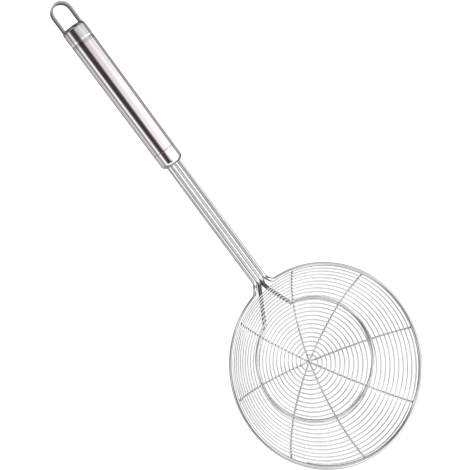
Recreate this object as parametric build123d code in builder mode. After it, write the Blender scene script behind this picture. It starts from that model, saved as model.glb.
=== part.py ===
"""Spider skimmer: a spiral wire basket on a long tubular handle with a hanging loop.

The origin is the middle of the basket's rim, in the plane of the rim wire. +Z points up out of
the bowl and +X towards the handle, which rises from the rim in the XZ plane. All sizes are in mm.
"""

from build123d import *
import math
import os

os.makedirs("parts", exist_ok=True)

# Wires
rim_wire = 3.0
ring_wire = 3.0
cross_wire = 1.4
mesh_wire = 1.1

# Bowl: a part of a sphere through the rim wire's centreline
rim_radius = 75.0
bowl_depth = 44.0
spoke_pairs = 4
first_spoke_angle = -20.5

# Spiral of the mesh: its start, measured along the bowl from the middle, and its count of turns
mesh_start = 5.5
mesh_turns = 22.6

# Where the cross wires are stacked and pressed together in the middle of the bowl
press_depth = 0.35
ramp_share = 4.0

# Support ring beneath the cross wires, a little off the middle of the bowl
ring_radius = 48.4
ring_turn = 2.2
ring_turn_azimuth = -68.0
ring_end_angle = 20.6

# Legs of the support ring: three places on each, from the ring up to the rim
left_leg_shares = (0.709, 0.863, 0.995)
left_leg_angles = (11.0, 4.5, 1.8)
right_leg_shares = (0.708, 0.865, 0.998)
right_leg_angles = (-16.7, -7.8, -2.3)

# Ends of the rim wire, where they turn up into the neck
rim_end_angle = 8.4
rim_bend_shares = (0.40, 0.70, 0.33)

# Neck and handle
handle_slope = 15.65
neck_rise = 4.2
neck_start = 9.5
neck_length = 114.2
handle_diameter = 16.9
tube_wall = 0.8
tube_length = 87.4
lower_cap_length = 11.7
upper_cap_length = 11.0
lower_cap_round = 3.0
upper_cap_round = 2.5
cap_end_wall = 2.0
cap_wall = 0.5
cap_sleeve = 9.0
wire_tail = 9.0
seam_bevel = 0.3

# Hanging loop
loop_reach = 17.4
strip_thickness = 1.5
strip_width = 5.4
strip_round = 0.25
loop_tail = 7.0

# Fits
mesh_rim_gap = 0.15
weld_gap = 0.05
press_gap = 0.05
loop_corner_gap = 0.1
overrun = 5.0

full_turn = 360.0
steps_per_turn = 4
points_per_arc = 8

# Spheres that the wires' centrelines lie on, all about one centre above the bowl
bowl_radius = (rim_radius**2 + bowl_depth**2) / (2 * bowl_depth)
bowl_centre = Vector(0, 0, bowl_radius - bowl_depth)
mesh_sphere = bowl_radius - (cross_wire + mesh_wire) / 2 - weld_gap
ring_sphere = bowl_radius + (cross_wire + ring_wire) / 2 + weld_gap

# The last turn of the mesh lies beside the rim wire, which sets the pitch of the spiral
rim_tilt = math.asin(rim_radius / bowl_radius)
mesh_rim_span = (rim_wire + mesh_wire) / 2 + mesh_rim_gap
mesh_rim_cosine = (bowl_radius**2 + mesh_sphere**2 - mesh_rim_span**2) / (
    2 * bowl_radius * mesh_sphere
)
mesh_end = (rim_tilt - math.acos(mesh_rim_cosine)) * bowl_radius
mesh_pitch = (mesh_end - mesh_start) / mesh_turns

# Handle: its plane's local X is the width of the handle, its local Z runs up along it
handle_dir = Vector(math.cos(math.radians(handle_slope)), 0, math.sin(math.radians(handle_slope)))
handle_plane = Plane(origin=(rim_radius, 0, neck_rise), x_dir=(0, 1, 0), z_dir=handle_dir)
handle_radius = handle_diameter / 2
tube_start = neck_length + lower_cap_length
tube_end = tube_start + tube_length
handle_end = tube_end + upper_cap_length
sleeve_radius = handle_radius - tube_wall - press_gap
sleeve_bore_radius = sleeve_radius - cap_wall
cap_bore_radius = handle_radius - cap_wall
inner_row = (ring_wire + weld_gap) / 2
outer_row = inner_row + (ring_wire + rim_wire) / 2 + weld_gap
wire_end = neck_length + cap_end_wall + wire_tail


def handle_point(across, along):
    """Point beside the handle's axis, at a distance along it from the basket's end."""
    return handle_plane.from_local_coords(Vector(across, 0, along))


def on_sphere(radius, around, out):
    """Point below the bowl's centre on one of its spheres, at a distance out from the axis."""
    angle = math.radians(around)
    drop = math.sqrt(radius**2 - out**2)
    return bowl_centre + Vector(out * math.cos(angle), out * math.sin(angle), -drop)


def two_arcs(start, start_dir, end, end_dir):
    """Two arcs that run smoothly into each other, from start to end along the given directions."""
    span = end - start
    both = start_dir + end_dir
    bend = 1 - start_dir.dot(end_dir)
    along = span.dot(both)
    reach = (math.sqrt(along**2 + 2 * bend * span.dot(span)) - along) / (2 * bend)
    middle = (start + end + (start_dir - end_dir) * reach) * 0.5
    first = TangentArc(start, middle, tangent=start_dir, mode=Mode.PRIVATE)
    second = TangentArc(middle, end, tangent=first % 1, mode=Mode.PRIVATE)
    return [first, second]


def mesh_place(turns):
    """Point of the mesh spiral and its direction there, after some turns from the middle."""
    tilt = (mesh_start + mesh_pitch * turns) / bowl_radius
    angle = math.radians(first_spoke_angle - full_turn * turns)
    out = Vector(math.cos(angle), math.sin(angle), 0)
    side = Vector(-math.sin(angle), math.cos(angle), 0)
    up = Vector(0, 0, 1)
    place = bowl_centre + (out * math.sin(tilt) - up * math.cos(tilt)) * mesh_sphere
    climb = (out * math.cos(tilt) + up * math.sin(tilt)) * (mesh_pitch / bowl_radius)
    swing = side * (-math.radians(full_turn) * math.sin(tilt))
    return place, (climb + swing).normalized()


# Mesh: one wire, wound from the middle of the bowl outwards on top of the cross wires
mesh_steps = math.ceil(mesh_turns * steps_per_turn)
mesh_places = [mesh_place(mesh_turns * step / mesh_steps) for step in range(mesh_steps + 1)]
mesh_arcs = []
for (place, heading), (next_place, next_heading) in zip(mesh_places, mesh_places[1:]):
    mesh_arcs += two_arcs(place, heading, next_place, next_heading)

with BuildPart() as mesh_spiral:
    with BuildLine() as mesh_run:
        add(mesh_arcs)
    with BuildSketch(Plane(origin=mesh_arcs[0] @ 0, z_dir=mesh_arcs[0] % 0)):
        Circle(mesh_wire / 2)
    sweep()
mesh_spiral.part.label = "mesh_spiral"
export_step(mesh_spiral.part, "parts/mesh_spiral.step")

# Least gap between neighbouring turns, measured on points of the wire's centreline
mesh_points = [arc @ (i / points_per_arc) for arc in mesh_arcs for i in range(points_per_arc)]
points_per_turn = 2 * steps_per_turn * points_per_arc
mesh_gap = min(
    (point - other).length - mesh_wire
    for i, point in enumerate(mesh_points)
    for other in mesh_points[i + points_per_turn // 2 : i + 2 * points_per_turn]
)
mesh_length = sum(arc.length for arc in mesh_arcs)
mesh_volume = mesh_length * math.pi * (mesh_wire / 2) ** 2
print(f"mesh_spiral: {mesh_turns} turns at {mesh_pitch:.3f} mm, ends {mesh_end:.2f} mm from the middle")
print(f"mesh_spiral: least gap to itself {mesh_gap:.2f} mm")
print(f"mesh_spiral: volume {mesh_spiral.part.volume:.1f}, section times length {mesh_volume:.1f} mm3")

# Cross wires: from rim to rim, stacked in the middle, where each is pressed flat on the next
stack_step = cross_wire - 2 * press_depth + weld_gap
press_reach = (cross_wire + weld_gap) / math.sin(math.pi / spoke_pairs)
spoke_tilt = rim_tilt - (rim_wire / 2 + weld_gap) / bowl_radius
up = Vector(0, 0, 1)

for k in range(spoke_pairs):
    spoke_angle = math.radians(first_spoke_angle - full_turn / (2 * spoke_pairs) * k)
    out = Vector(math.cos(spoke_angle), math.sin(spoke_angle), 0)
    flat_centre = bowl_centre - up * (bowl_radius + stack_step * k)
    ramp_out = press_reach + ramp_share * stack_step * (k + 1)
    ramp_tilt = math.asin(ramp_out / bowl_radius)

    with BuildPart() as cross_wire_part:
        with BuildLine() as cross_run:
            ends = []
            for way in (out, -out):
                tip, middle, ramp = [
                    bowl_centre + (way * math.sin(tilt) - up * math.cos(tilt)) * bowl_radius
                    for tilt in (spoke_tilt, (spoke_tilt + ramp_tilt) / 2, ramp_tilt)
                ]
                inwards = way * -math.cos(ramp_tilt) - up * math.sin(ramp_tilt)
                flat_end = flat_centre + way * press_reach
                ends.append((ThreePointArc(tip, middle, ramp), flat_end))
                add(two_arcs(ramp, inwards, flat_end, -way))
            Line(ends[0][1], ends[1][1])
        first_arc = ends[0][0]
        with BuildSketch(Plane(origin=first_arc @ 0, z_dir=first_arc % 0)):
            Circle(cross_wire / 2)
        sweep()
        # Flats where it is pressed against the wire above it and the wire below it
        press_sides = [side for side, used in ((up, k > 0), (-up, k < spoke_pairs - 1)) if used]
        for side in press_sides:
            press_face = flat_centre + side * (cross_wire / 2 - press_depth)
            with BuildSketch(Plane(origin=press_face, x_dir=out, z_dir=side)):
                Rectangle(2 * press_reach, 2 * cross_wire)
            extrude(amount=cross_wire, mode=Mode.SUBTRACT)
    cross_wire_part.part.label = f"cross_wire_{k + 1}"
    export_step(cross_wire_part.part, f"parts/cross_wire_{k + 1}.step")

# Rim wire: the hoop, open towards the handle, and its two ends running up the neck
with BuildPart() as rim_part:
    with BuildLine() as rim_run:
        hoop = CenterArc((0, 0), rim_radius, rim_end_angle, full_turn - 2 * rim_end_angle)
        hoop_ends = ((hoop @ 0, -(hoop % 0), outer_row), (hoop @ 1, hoop % 1, -outer_row))
        for corner, heading, across in hoop_ends:
            neck_point = handle_point(across, neck_start)
            span = neck_point - corner
            x_share, y_share, z_share = rim_bend_shares
            bend_point = corner + Vector(span.X * x_share, span.Y * y_share, span.Z * z_share)
            bend_dir = span.normalized()
            add(two_arcs(corner, heading, bend_point, bend_dir))
            add(two_arcs(bend_point, bend_dir, neck_point, handle_dir))
            Line(neck_point, handle_point(across, wire_end))
    with BuildSketch(Plane(origin=handle_point(outer_row, wire_end), z_dir=-handle_dir)):
        Circle(rim_wire / 2)
    sweep()
rim_part.part.label = "rim_wire"
export_step(rim_part.part, "parts/rim_wire.step")

# Support ring: a circle on its own sphere, turned a little off the bowl's axis, and its legs
ring_lean = math.radians(ring_turn)
ring_lean_way = math.radians(ring_turn_azimuth)
ring_axis = Vector(
    math.sin(ring_lean) * math.cos(ring_lean_way),
    math.sin(ring_lean) * math.sin(ring_lean_way),
    -math.cos(ring_lean),
)
ring_plane = Plane(
    origin=bowl_centre + ring_axis * math.sqrt(ring_sphere**2 - ring_radius**2),
    x_dir=ring_axis.cross(Vector(1, 0, 0)).cross(ring_axis),
    z_dir=-ring_axis,
)

with BuildPart() as ring_part:
    with BuildLine(ring_plane) as ring_run:
        ring_arc = CenterArc((0, 0), ring_radius, ring_end_angle, full_turn - 2 * ring_end_angle)
        legs = (
            (ring_arc @ 0, -(ring_arc % 0), inner_row, left_leg_shares, left_leg_angles),
            (ring_arc @ 1, ring_arc % 1, -inner_row, right_leg_shares, right_leg_angles),
        )
        for corner, heading, across, shares, angles in legs:
            neck_point = handle_point(across, neck_start)
            leg_places = [
                on_sphere(ring_sphere, around, share * rim_radius)
                for share, around in zip(shares, angles)
            ]
            leg = ThreePointArc(*leg_places)
            add(two_arcs(corner, heading, leg @ 0, leg % 0))
            add(two_arcs(leg @ 1, leg % 1, neck_point, handle_dir))
            Line(neck_point, handle_point(across, wire_end))
    with BuildSketch(Plane(origin=handle_point(inner_row, wire_end), z_dir=-handle_dir)):
        Circle(ring_wire / 2)
    sweep()
ring_part.part.label = "support_ring_wire"
export_step(ring_part.part, "parts/support_ring_wire.step")

# Handle tube, with a small bevel at each end that shows as the joint line to the cap
with BuildPart() as tube:
    with BuildSketch(handle_plane.offset(tube_start + weld_gap)):
        Circle(handle_radius)
        Circle(handle_radius - tube_wall, mode=Mode.SUBTRACT)
    extrude(amount=tube_length - 2 * weld_gap)
    outer_rims = tube.edges().filter_by(GeomType.CIRCLE).group_by(SortBy.RADIUS)[-1]
    chamfer(outer_rims, seam_bevel)
tube.part.label = "handle_tube"
export_step(tube.part, "parts/handle_tube.step")

# Lower cap: a hollow cap with a sleeve in the tube and a slot for the row of four wires
with BuildPart() as lower_cap:
    with BuildSketch(handle_plane.offset(neck_length)):
        Circle(handle_radius)
    extrude(amount=lower_cap_length)
    outer_rims = lower_cap.edges().filter_by(GeomType.CIRCLE).sort_by(Axis.X)
    fillet(outer_rims[0], lower_cap_round)
    chamfer(outer_rims[-1], seam_bevel)
    with BuildSketch(handle_plane.offset(tube_start)):
        Circle(sleeve_radius)
    extrude(amount=cap_sleeve)
    with BuildSketch(handle_plane.offset(tube_start + cap_sleeve + overrun)):
        Circle(sleeve_bore_radius)
    extrude(amount=cap_end_wall - lower_cap_length - cap_sleeve - overrun, mode=Mode.SUBTRACT)
    with BuildSketch(handle_plane.offset(neck_length + cap_end_wall)):
        Circle(cap_bore_radius)
    extrude(amount=lower_cap_length - cap_end_wall - cap_wall, mode=Mode.SUBTRACT)
    with BuildSketch(handle_plane.offset(neck_length - overrun)):
        SlotOverall(2 * (outer_row + weld_gap) + rim_wire, max(rim_wire, ring_wire) + 2 * weld_gap)
    extrude(amount=cap_end_wall + 2 * overrun, mode=Mode.SUBTRACT)
lower_cap.part.label = "lower_end_cap"
export_step(lower_cap.part, "parts/lower_end_cap.step")

# Upper cap: the same at the other end, with a slot for each leg of the hanging loop
loop_half_width = math.sqrt((cap_bore_radius - loop_corner_gap) ** 2 - (strip_width / 2) ** 2)
loop_leg_across = loop_half_width - strip_thickness / 2

with BuildPart() as upper_cap:
    with BuildSketch(handle_plane.offset(tube_end)):
        Circle(handle_radius)
    extrude(amount=upper_cap_length)
    outer_rims = upper_cap.edges().filter_by(GeomType.CIRCLE).sort_by(Axis.X)
    chamfer(outer_rims[0], seam_bevel)
    fillet(outer_rims[-1], upper_cap_round)
    with BuildSketch(handle_plane.offset(tube_end)):
        Circle(sleeve_radius)
    extrude(amount=-cap_sleeve)
    with BuildSketch(handle_plane.offset(tube_end - cap_sleeve - overrun)):
        Circle(sleeve_bore_radius)
    extrude(amount=cap_sleeve + overrun + upper_cap_length - cap_end_wall, mode=Mode.SUBTRACT)
    with BuildSketch(handle_plane.offset(handle_end - cap_end_wall)):
        Circle(cap_bore_radius)
    extrude(amount=cap_end_wall + cap_wall - upper_cap_length, mode=Mode.SUBTRACT)
    with BuildSketch(handle_plane.offset(handle_end + overrun)):
        with Locations((-loop_leg_across, 0), (loop_leg_across, 0)):
            Rectangle(strip_thickness + 2 * weld_gap, strip_width + 2 * weld_gap)
    extrude(amount=-cap_end_wall - overrun, mode=Mode.SUBTRACT)
upper_cap.part.label = "upper_end_cap"
export_step(upper_cap.part, "parts/upper_end_cap.step")

# Hanging loop: a flat strip bent into a U, standing across the handle, its ends in the cap
loop_plane = Plane(origin=handle_plane.origin, x_dir=handle_plane.x_dir, z_dir=-handle_plane.y_dir)
loop_foot = handle_end - cap_end_wall - loop_tail
loop_bend = handle_end + loop_reach - loop_half_width

with BuildPart() as loop:
    with BuildSketch(loop_plane):
        for half_width, mode in (
            (loop_half_width, Mode.ADD),
            (loop_half_width - strip_thickness, Mode.SUBTRACT),
        ):
            with Locations((0, (loop_foot + loop_bend) / 2)):
                Rectangle(2 * half_width, loop_bend - loop_foot, mode=mode)
            with Locations((0, loop_bend)):
                Circle(half_width, mode=mode)
    extrude(amount=strip_width / 2, both=True)
    long_edges = loop.faces().filter_by(Axis(handle_plane.origin, handle_plane.y_dir)).edges()
    fillet(long_edges.filter_by(lambda edge: edge.length > strip_width), strip_round)
loop.part.label = "hanging_loop"
export_step(loop.part, "parts/hanging_loop.step")
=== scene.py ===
"""Looks of a stainless steel spider skimmer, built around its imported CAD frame."""

import logging
import math
from dataclasses import dataclass, field, replace
from enum import Enum
from typing import Any

import bmesh
import bpy
from mathutils import Matrix, Vector
from mathutils.bvhtree import BVHTree


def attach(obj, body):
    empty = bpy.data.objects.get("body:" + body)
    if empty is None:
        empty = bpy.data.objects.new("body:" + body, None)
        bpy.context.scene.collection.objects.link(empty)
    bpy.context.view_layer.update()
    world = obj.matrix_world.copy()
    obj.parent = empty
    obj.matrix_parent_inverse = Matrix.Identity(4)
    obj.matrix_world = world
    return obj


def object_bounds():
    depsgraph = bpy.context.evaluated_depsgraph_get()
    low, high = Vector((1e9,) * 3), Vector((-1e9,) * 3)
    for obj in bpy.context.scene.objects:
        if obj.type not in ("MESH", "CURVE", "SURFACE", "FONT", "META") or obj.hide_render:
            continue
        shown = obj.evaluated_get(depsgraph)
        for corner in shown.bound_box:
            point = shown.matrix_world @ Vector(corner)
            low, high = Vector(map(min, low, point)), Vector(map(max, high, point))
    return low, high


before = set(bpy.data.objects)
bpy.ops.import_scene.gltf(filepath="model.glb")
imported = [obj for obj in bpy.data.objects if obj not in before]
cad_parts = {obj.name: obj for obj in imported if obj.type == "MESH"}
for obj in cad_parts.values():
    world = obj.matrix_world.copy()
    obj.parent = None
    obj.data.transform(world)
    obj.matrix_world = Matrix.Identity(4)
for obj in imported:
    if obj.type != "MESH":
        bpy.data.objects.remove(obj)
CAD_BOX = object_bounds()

LOG = logging.getLogger("skimmer")
Colour = tuple[float, float, float]
BLACK: Colour = (0.0, 0.0, 0.0)
WHITE: Colour = (1.0, 1.0, 1.0)
UNSTRETCHED = (1.0, 1.0, 1.0)
CROSS_WIRES = 4


# Shader maths


class Signal:
    """A value on its way through a node tree, which can be used in Python sums."""

    def __init__(self, bench: "Bench", socket: bpy.types.NodeSocket | None) -> None:
        """Keep the bench that adds nodes and the socket that carries the value."""
        self.bench = bench
        self.socket = socket

    def _maths(self, operation: str, *values: Any) -> "Signal":
        """Add one Math node for an operation on values."""
        return self.bench.node("ShaderNodeMath", {"operation": operation}, dict(enumerate(values)))

    def __add__(self, other: Any) -> "Signal":
        """Sum of both."""
        return self._maths("ADD", self, other)

    __radd__ = __add__

    def __mul__(self, other: Any) -> "Signal":
        """Product of both."""
        return self._maths("MULTIPLY", self, other)

    def ramp(self, low: float, high: float) -> "Signal":
        """Smooth step from 0 at low to 1 at high.

        Args:
            low: Value at which the step starts.
            high: Value at which it is done; it may be under low for a falling step.

        Returns:
            The step as a signal.
        """
        ends = {"From Min": low, "From Max": high, "To Min": 0.0, "To Max": 1.0}
        return self.bench.node(
            "ShaderNodeMapRange", {"interpolation_type": "SMOOTHSTEP"}, {"Value": self, **ends}
        )


class Bench:
    """Adds nodes to one node tree."""

    def __init__(self, tree: bpy.types.NodeTree) -> None:
        """Empty the tree and keep it."""
        tree.nodes.clear()
        self.tree = tree

    def node(
        self,
        kind: str,
        settings: dict[str, Any] | None = None,
        inputs: dict[str | int, Any] | None = None,
        output: str | int = 0,
    ) -> Signal:
        """Add a node, set it up and feed its sockets.

        Args:
            kind: The node's type.
            settings: Attributes of the node, which are set before its sockets.
            inputs: Values or signals by socket name or number.
            output: Name or number of the output that is wanted.

        Returns:
            The chosen output as a signal.
        """
        made = self.tree.nodes.new(kind)
        for name, value in (settings or {}).items():
            setattr(made, name, value)
        for name, value in (inputs or {}).items():
            if isinstance(value, Signal):
                self.tree.links.new(value.socket, made.inputs[name])
            else:
                made.inputs[name].default_value = value
        return Signal(self, made.outputs[output] if made.outputs else None)

    def place(
        self, stretch: tuple[float, float, float] = UNSTRETCHED, turn: float = 0.0
    ) -> Signal:
        """Object coordinates, turned about Y and stretched.

        Args:
            stretch: Factors along the turned X, Y and Z.
            turn: Angle about Y in degrees, to line a pattern up with the handle.

        Returns:
            The coordinates as a vector signal.
        """
        here = self.node("ShaderNodeTexCoord", output="Object")
        turned = self.node(
            "ShaderNodeMapping", {}, {"Vector": here, "Rotation": (0.0, math.radians(turn), 0.0)}
        )
        return self.node(
            "ShaderNodeVectorMath", {"operation": "MULTIPLY"}, {0: turned, 1: stretch}
        )

    def axis(self, place: Signal, letter: str) -> Signal:
        """One of the three values of some coordinates."""
        return self.node("ShaderNodeSeparateXYZ", {}, {0: place}, output=letter)

    def noise(
        self, place: Signal, scale: float, detail: float = 2.0, roughness: float = 0.55
    ) -> Signal:
        """Cloudy noise of a given scale at some coordinates."""
        return self.node(
            "ShaderNodeTexNoise",
            {},
            {"Vector": place, "Scale": scale, "Detail": detail, "Roughness": roughness},
        )

    def blend(self, mask: Signal, first: Signal | Colour, second: Signal | Colour) -> Signal:
        """Colour that goes from first to second with the mask."""
        ends = [end if isinstance(end, Signal) else (*end, 1.0) for end in (first, second)]
        return self.node(
            "ShaderNodeMix", {"data_type": "RGBA"}, {0: mask, 6: ends[0], 7: ends[1]}, output=2
        )


# Finishes


class Grain(Enum):
    """Which way the fine marks of a steel surface run."""

    NONE = UNSTRETCHED
    ALONG = (0.02, 1.0, 1.0)
    ROUND = (1.0, 0.03, 0.03)


@dataclass(frozen=True)
class Band:
    """A zone along the handle's line with a tone laid over the steel, mostly a painted highlight
    or painted shade.

    It starts to show at outer, shows in full from inner on, and has no far end. Both are
    distances along the line in metres. A band that shows below a place has inner under outer.
    """

    outer: float
    inner: float
    tone: Colour

    def mask(self, along: Signal) -> Signal:
        """How much of the band shows at a distance along the handle, from 0 to 1."""
        return along.ramp(self.outer, self.inner)

    def counted_from(self, place: float) -> "Band":
        """The same band, with its distances counted from a place along the handle."""
        return replace(self, outer=place + self.outer, inner=place + self.inner)


@dataclass(frozen=True)
class SteelFinish:
    """Bright stainless steel with fine marks, faint smudges and a little tarnish; its dark grazing
    tint paints shade along outlines, and its bands lay tones along the handle, mostly painted
    highlights and painted shade.
    """

    name: str
    colour: Colour = (0.80, 0.80, 0.81)
    shade: Colour = (0.68, 0.68, 0.70)
    # Grazing tint: a dark colour here paints shade along every outline of the steel.
    outline_shade_tint: Colour = (0.10, 0.10, 0.11)
    roughness: float = 0.10
    smudge: float = 0.04
    grain: Grain = Grain.NONE
    grain_scale: float = 900.0
    grain_share: float = 0.5
    speck_range: tuple[float, float] = (0.45, 0.8)
    speck_height: float = 0.5
    speck_share: float = 0.4
    cloud_scale: float = 55.0
    cloud_detail: float = 3.0
    cloud_range: tuple[float, float] = (0.35, 0.7)
    cloud_share: float = 0.6
    bump: float = 0.1
    bump_height: float = 0.00005
    slope: float = 15.65
    bands: tuple[Band, ...] = ()

    def material(self) -> bpy.types.Material:
        """Build the finish as a material.

        Returns:
            The material with its node tree.
        """
        steel = bpy.data.materials.new(self.name)
        steel.use_nodes = True
        bench = Bench(steel.node_tree)
        plain = bench.place()
        clouds = bench.noise(plain, self.cloud_scale, self.cloud_detail).ramp(*self.cloud_range)
        specks = bench.noise(plain, self.grain_scale).ramp(*self.speck_range)
        marks = bench.noise(bench.place(self.grain.value, self.slope), self.grain_scale)
        height = marks + specks * self.speck_height
        wear = clouds * self.cloud_share + specks * self.speck_share
        tone = bench.blend(wear, self.colour, self.shade)
        # Bands lay tones along the handle's line: painted highlights, painted shade and plain
        # steel.
        if self.bands:
            along = bench.axis(bench.place(turn=self.slope), "X")
            for band in self.bands:
                tone = bench.blend(band.mask(along), tone, band.tone)
        rough = self.roughness + clouds * self.smudge + marks * (self.smudge * self.grain_share)
        relief = {"Strength": self.bump, "Distance": self.bump_height, "Height": height}
        shader = bench.node(
            "ShaderNodeBsdfPrincipled",
            {},
            {
                "Base Color": tone,
                "Metallic": 1.0,
                "Roughness": rough,
                # The dark grazing tint paints shade along the outlines.
                "Specular Tint": (*self.outline_shade_tint, 1.0),
                "Normal": bench.node("ShaderNodeBump", {}, relief),
            },
        )
        bench.node("ShaderNodeOutputMaterial", {}, {"Surface": shader})
        return steel


def far_end(node: str, slope: float) -> float:
    """Place of a CAD node's far end along the handle.

    Args:
        node: Name of the CAD node.
        slope: Rise of the handle in degrees.

    Returns:
        The largest distance along the handle's line, in metres.
    """
    line = Vector((math.cos(math.radians(slope)), 0.0, math.sin(math.radians(slope))))
    return max(vertex.co.dot(line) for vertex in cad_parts[node].data.vertices)


def dress(node: str, steel: bpy.types.Material) -> None:
    """Give a CAD node a finish on all of its material slots.

    Args:
        node: Name of the CAD node.
        steel: Material that it gets.
    """
    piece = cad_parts[node]
    if not piece.data.materials:
        piece.data.materials.append(steel)
    for slot in piece.material_slots:
        slot.material = steel
    LOG.info("dressed %s in %s", node, steel.name)


# Welds


@dataclass(frozen=True)
class Weld:
    """A spot where two wires touch: its place and the way from one wire to the other."""

    place: Vector
    across: Vector


def contacts(first: str, second: str, reach: float, apart: float) -> list[Weld]:
    """Find some of the places where two CAD nodes touch.

    Only the corners of the first node's mesh are looked at. They stand apart along a wire, so
    a contact that has no corner near it isn't found.

    Args:
        first: Node whose mesh corners are looked at.
        second: Node that they may touch.
        reach: Largest distance that still counts as touching.
        apart: Least distance between two welds.

    Returns:
        One weld for each place that was found.
    """
    one, other = (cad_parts[name].data for name in (first, second))
    other.calc_loop_triangles()
    corners = [vertex.co for vertex in other.vertices]
    faces = [tuple(triangle.vertices) for triangle in other.loop_triangles]
    surface = BVHTree.FromPolygons(corners, faces, all_triangles=True)
    near = []
    for vertex in one.vertices:
        spot, normal, _, distance = surface.find_nearest(vertex.co, reach)
        if spot is not None:
            near.append((distance, (vertex.co + spot) / 2, normal))
    welds: list[Weld] = []
    for _, spot, normal in sorted(near, key=lambda found: found[0]):
        if all((spot - weld.place).length > apart for weld in welds):
            welds.append(Weld(spot, normal.normalized()))
    return welds


@dataclass
class WeldBeads:
    """Small fused spots on some of the contacts between the wires of the basket."""

    reach: float = 0.00012
    mesh_spot: tuple[float, float] = (0.00050, 0.00022)
    wire_spot: tuple[float, float] = (0.00075, 0.00034)
    mesh_apart: float = 0.0016
    wire_apart: float = 0.0032
    sides: int = 10
    rings: int = 6
    finish: SteelFinish = field(
        default_factory=lambda: SteelFinish(
            "weld_spot_steel",
            colour=(0.50, 0.47, 0.44),
            shade=(0.34, 0.30, 0.27),
            roughness=0.32,
            smudge=0.1,
            cloud_scale=300.0,
            bump=0.3,
        )
    )

    def build(self) -> None:
        """Set a bead on each contact that is found."""
        steel = self.finish.material()
        for number in range(1, CROSS_WIRES + 1):
            wire = f"cross_wire_{number}"
            crossings = contacts("mesh_spiral", wire, self.reach, self.mesh_apart)
            self._beads(f"mesh_welds_{number}", crossings, self.mesh_spot, steel)
            joints = contacts(wire, "rim_wire", self.reach, self.wire_apart)
            joints += contacts(wire, "support_ring_wire", self.reach, self.wire_apart)
            self._beads(f"wire_welds_{number}", joints, self.wire_spot, steel)

    def _beads(
        self, name: str, welds: list[Weld], spot: tuple[float, float], steel: bpy.types.Material
    ) -> None:
        """Make one piece of flattened round beads.

        Args:
            name: Name of the piece.
            welds: Where the beads go.
            spot: Radius and half thickness of a bead.
            steel: Material that the beads get.
        """
        if not welds:
            LOG.warning("no contacts found for %s", name)
            return
        beads = bmesh.new()
        for weld in welds:
            turn = weld.across.to_track_quat("Z", "Y").to_matrix().to_4x4()
            flat = Matrix.Diagonal((spot[0], spot[0], spot[1], 1.0))
            bmesh.ops.create_uvsphere(
                beads,
                u_segments=self.sides,
                v_segments=self.rings,
                radius=1.0,
                matrix=Matrix.Translation(weld.place) @ turn @ flat,
            )
        for face in beads.faces:
            face.smooth = True
        bmesh.ops.recalc_face_normals(beads, faces=beads.faces)
        mesh = bpy.data.meshes.new(name)
        beads.to_mesh(mesh)
        beads.free()
        mesh.materials.append(steel)
        piece = bpy.data.objects.new(name, mesh)
        bpy.context.scene.collection.objects.link(piece)
        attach(piece, "root")
        LOG.info("set %d beads on %s", len(welds), name)


# Sub-assemblies


@dataclass
class Basket:
    """The wire bowl: hoop, cross wires, spiral mesh and support ring, with painted shade on its
    legs.
    """

    mesh_finish: SteelFinish = field(
        default_factory=lambda: SteelFinish(
            "mesh_wire_steel", colour=(0.94, 0.94, 0.95), shade=(0.86, 0.86, 0.88), roughness=0.06
        )
    )
    cross_finish: SteelFinish = field(
        default_factory=lambda: SteelFinish(
            "cross_wire_steel", colour=(0.96, 0.96, 0.97), shade=(0.88, 0.88, 0.90), roughness=0.05
        )
    )
    wire_finish: SteelFinish = field(
        default_factory=lambda: SteelFinish(
            "thick_wire_steel",
            colour=(0.97, 0.97, 0.98),
            shade=(0.90, 0.90, 0.92),
            roughness=0.05,
        )
    )
    rim_finish: SteelFinish = field(
        default_factory=lambda: SteelFinish(
            "rim_wire_steel",
            colour=(0.78, 0.78, 0.79),
            shade=(0.68, 0.68, 0.70),
            # A black grazing tint paints deeper shade along the rim's outlines.
            outline_shade_tint=BLACK,
            roughness=0.05,
        )
    )
    # Painted shade: the ring wire darkens from 38 to 42 mm along the handle's line and stays dark
    # up to the neck. The neck band after it brings back a plain bright steel tone.
    legs_painted_shade: Band = Band(0.038, 0.042, (0.47, 0.47, 0.48))
    bright_neck: Band = Band(0.078, 0.084, (0.95, 0.95, 0.96))

    def build(self) -> None:
        """Dress the wires and weld them."""
        # Bands on the ring wire: painted shade on the legs, then plain bright steel on the neck.
        ring = replace(self.wire_finish, bands=(self.legs_painted_shade, self.bright_neck))
        dress("mesh_spiral", self.mesh_finish.material())
        cross = self.cross_finish.material()
        for number in range(1, CROSS_WIRES + 1):
            dress(f"cross_wire_{number}", cross)
        dress("rim_wire", self.rim_finish.material())
        dress("support_ring_wire", ring.material())
        WeldBeads().build()


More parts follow.
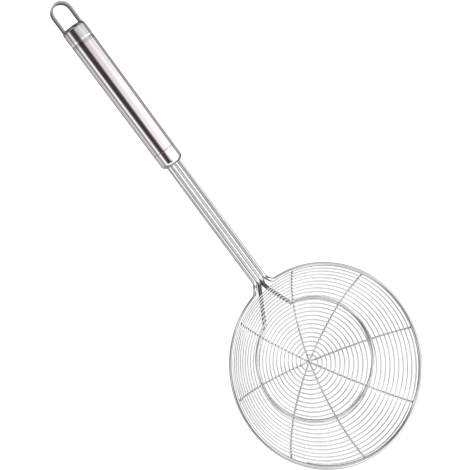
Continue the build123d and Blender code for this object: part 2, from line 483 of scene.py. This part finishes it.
@dataclass
class Handle:
    """The tube with its two end caps and the hanging loop."""

    tube_finish: SteelFinish = field(
        default_factory=lambda: SteelFinish(
            "polished_tube_steel",
            colour=(0.84, 0.80, 0.82),
            shade=(0.78, 0.74, 0.76),
            roughness=0.07,
            smudge=0.05,
            grain=Grain.ALONG,
        )
    )
    lower_cap_finish: SteelFinish = field(
        default_factory=lambda: SteelFinish(
            "polished_cap_steel",
            colour=(0.88, 0.86, 0.87),
            shade=(0.80, 0.78, 0.80),
            roughness=0.06,
            grain=Grain.ROUND,
        )
    )
    upper_cap_finish: SteelFinish = field(
        default_factory=lambda: SteelFinish(
            "satin_cap_steel",
            colour=(0.72, 0.71, 0.72),
            shade=(0.62, 0.61, 0.63),
            roughness=0.14,
            grain=Grain.ROUND,
        )
    )
    strip_finish: SteelFinish = field(
        default_factory=lambda: SteelFinish(
            "satin_strip_steel",
            colour=(0.50, 0.50, 0.52),
            shade=(0.41, 0.41, 0.43),
            roughness=0.24,
            grain=Grain.ALONG,
        )
    )

    # Painted highlight: a near-white strip on the upper cap just above its joint with the tube.
    seam_painted_highlight: Band = Band(0.0018, 0.0016, (0.98, 0.98, 0.98))
    # Painted shade: the upper cap darkens over its last 3 mm towards its rounded end.
    shoulder_painted_shade: Band = Band(-0.0032, -0.0014, (0.30, 0.29, 0.30))
    # Painted shadow: the tube darkens over its last 3 mm below its joint with the upper cap.
    joint_painted_shadow: Band = Band(-0.0032, -0.0010, (0.57, 0.54, 0.56))

    def build(self) -> None:
        """Dress the tube, the caps and the loop."""
        joint = far_end("handle_tube", self.tube_finish.slope)
        end = far_end("upper_end_cap", self.upper_cap_finish.slope)
        # The tube gets a painted shadow just below its joint.
        tube = replace(self.tube_finish, bands=(self.joint_painted_shadow.counted_from(joint),))
        # The upper cap gets a painted highlight at its joint and painted shade at its shoulder.
        cap_painted_bands = (self.seam_painted_highlight.counted_from(joint), self.shoulder_painted_shade.counted_from(end))
        dress("handle_tube", tube.material())
        dress("lower_end_cap", self.lower_cap_finish.material())
        dress("upper_end_cap", replace(self.upper_cap_finish, bands=cap_painted_bands).material())
        dress("hanging_loop", self.strip_finish.material())


# Studio


@dataclass(frozen=True)
class LightPatch:
    """A soft-edged round patch of the surroundings, brighter or darker than the rest."""

    name: str
    towards: tuple[float, float, float]
    half_angle: float
    softness: float
    colour: Colour

    def mask(self, bench: Bench, way: Signal) -> Signal:
        """How much of the patch shows along a way, from 0 to 1."""
        facing = bench.node(
            "ShaderNodeVectorMath",
            {"operation": "DOT_PRODUCT"},
            {0: way, 1: Vector(self.towards).normalized()},
            output="Value",
        )
        inner = math.cos(math.radians(max(self.half_angle - self.softness, 0.0)))
        outer = math.cos(math.radians(self.half_angle + self.softness))
        return facing.ramp(outer, inner)


@dataclass
class Studio:
    """Floor pale to the camera, with painted light round the handle on darker grey under it, soft
    surroundings and the camera at the photograph's angle.
    """

    floor_half: float = 4.0
    # Painted light on the floor: a bright lit patch round the handle on a darker grey that paints
    # shade under the basket and farther out.
    unlit_floor_colour: Colour = (0.42, 0.42, 0.42)
    lit_pool_colour: Colour = (0.95, 0.95, 0.95)
    lit_pool_centre: tuple[float, float, float] = (0.24, 0.0, 0.0)
    lit_pool_radius: tuple[float, float] = (0.50, 0.34)
    lit_pool_edge: tuple[float, float] = (0.13, 0.20)
    floor_glow: float = 0.9
    floor_roughness: float = 0.9
    floor_gloss: float = 0.1
    ambient: Colour = (1.25, 1.25, 1.25)
    horizon: Colour = (0.40, 0.40, 0.40)
    horizon_top: float = 5.0
    horizon_blur: tuple[float, float] = (0.5, 1.5)
    patches: tuple[LightPatch, ...] = (
        LightPatch("grey_ceiling", (0.27, -0.05, 0.96), 32.0, 12.0, (0.78, 0.73, 0.75)),
        LightPatch("grey_front", (0.45, -0.70, 0.56), 32.0, 6.0, (0.74, 0.74, 0.74)),
        LightPatch("bright_window", (-0.78, -0.48, 0.40), 14.0, 11.0, (1.9, 1.9, 1.9)),
        LightPatch("dark_camera_side", (-0.10, 0.65, 0.75), 25.0, 10.0, (0.062, 0.046, 0.050)),
        LightPatch("dark_right_flag", (0.66, -0.27, 0.70), 18.0, 8.0, (0.15, 0.15, 0.15)),
        LightPatch("dark_left_flag", (-0.60, 0.27, 0.76), 12.0, 5.0, (0.15, 0.15, 0.15)),
        LightPatch("dark_far_flag", (0.95, -0.08, 0.20), 19.0, 4.0, (0.12, 0.12, 0.12)),
        LightPatch("dark_far_left_flag", (0.70, 0.60, 0.36), 16.0, 5.0, (0.10, 0.09, 0.10)),
    )
    lens: float = 50.0
    sensor: float = 36.0
    nearest: float = 0.01
    stand: tuple[float, float, float] = (0.126579, 0.123366, 0.472512)
    turn: tuple[float, float, float] = (9.7579, -12.4452, -131.939)

    def build(self) -> None:
        """Add the floor, the surroundings and the camera."""
        self._floor()
        self._surroundings()
        self._camera()

    def _floor(self) -> None:
        """Lay a floor under the object's lowest point. It glows evenly pale to the camera, and its
        colour is painted light round the handle and painted shade under the basket and farther
        out.
        """
        sheet = bmesh.new()
        bmesh.ops.create_grid(sheet, x_segments=1, y_segments=1, size=self.floor_half)
        bmesh.ops.translate(sheet, verts=sheet.verts, vec=(0.0, 0.0, float(CAD_BOX[0][2])))
        mesh = bpy.data.meshes.new("studio_floor")
        sheet.to_mesh(mesh)
        sheet.free()
        floor = bpy.data.objects.new("studio_floor", mesh)
        bpy.context.scene.collection.objects.link(floor)
        pale = bpy.data.materials.new("pale_floor")
        pale.use_nodes = True
        bench = Bench(pale.node_tree)
        seen = bench.node("ShaderNodeLightPath", output="Is Camera Ray")
        here = bench.place()
        away = {0: here, 1: self.lit_pool_centre}
        reach = bench.node("ShaderNodeVectorMath", {"operation": "DISTANCE"}, away, "Value")
        # Painted light: bright within the lit patch round the handle, falling to painted shade
        # under the basket and farther away.
        lit_pool_mask = reach.ramp(*self.lit_pool_radius) * bench.axis(here, "X").ramp(*self.lit_pool_edge)
        look = {
            "Base Color": bench.blend(lit_pool_mask, self.unlit_floor_colour, self.lit_pool_colour),
            "Roughness": self.floor_roughness,
            "Specular IOR Level": self.floor_gloss,
        }
        glow = {
            "Emission Color": bench.blend(seen, BLACK, WHITE),
            "Emission Strength": self.floor_glow,
        }
        shader = bench.node("ShaderNodeBsdfPrincipled", {}, {**look, **glow})
        bench.node("ShaderNodeOutputMaterial", {}, {"Surface": shader})
        mesh.materials.append(pale)

    def _surroundings(self) -> None:
        """Light the scene from all round: a dark horizon, soft patches, a white backdrop."""
        world = bpy.data.worlds.new("studio_light")
        bpy.context.scene.world = world
        world.use_nodes = True
        bench = Bench(world.node_tree)
        way = bench.node("ShaderNodeTexCoord", output="Generated")
        top = math.sin(math.radians(self.horizon_top))
        low, high = (top * share for share in self.horizon_blur)
        light = bench.blend(bench.axis(way, "Z").ramp(low, high), self.horizon, self.ambient)
        for patch in self.patches:
            light = bench.blend(patch.mask(bench, way), light, patch.colour)
            light.socket.node.name = patch.name
        seen = bench.node("ShaderNodeLightPath", output="Is Camera Ray")
        light = bench.blend(seen, light, WHITE)
        shader = bench.node("ShaderNodeBackground", {}, {"Color": light, "Strength": 1.0})
        bench.node("ShaderNodeOutputWorld", {}, {"Surface": shader})
        bpy.context.scene.view_settings.view_transform = "Standard"

    def _camera(self) -> None:
        """Stand the camera where the photograph was taken from."""
        lens = bpy.data.cameras.new("photo_camera")
        lens.lens = self.lens
        lens.sensor_width = self.sensor
        lens.clip_start = self.nearest
        camera = bpy.data.objects.new("photo_camera", lens)
        camera.location = self.stand
        camera.rotation_euler = [math.radians(angle) for angle in self.turn]
        bpy.context.scene.collection.objects.link(camera)
        bpy.context.scene.camera = camera


def main() -> None:
    """Build the skimmer's looks and the studio around it."""
    logging.basicConfig(level=logging.INFO, format="%(name)s: %(message)s")
    Basket().build()
    Handle().build()
    Studio().build()


if __name__ == "__main__":
    main()
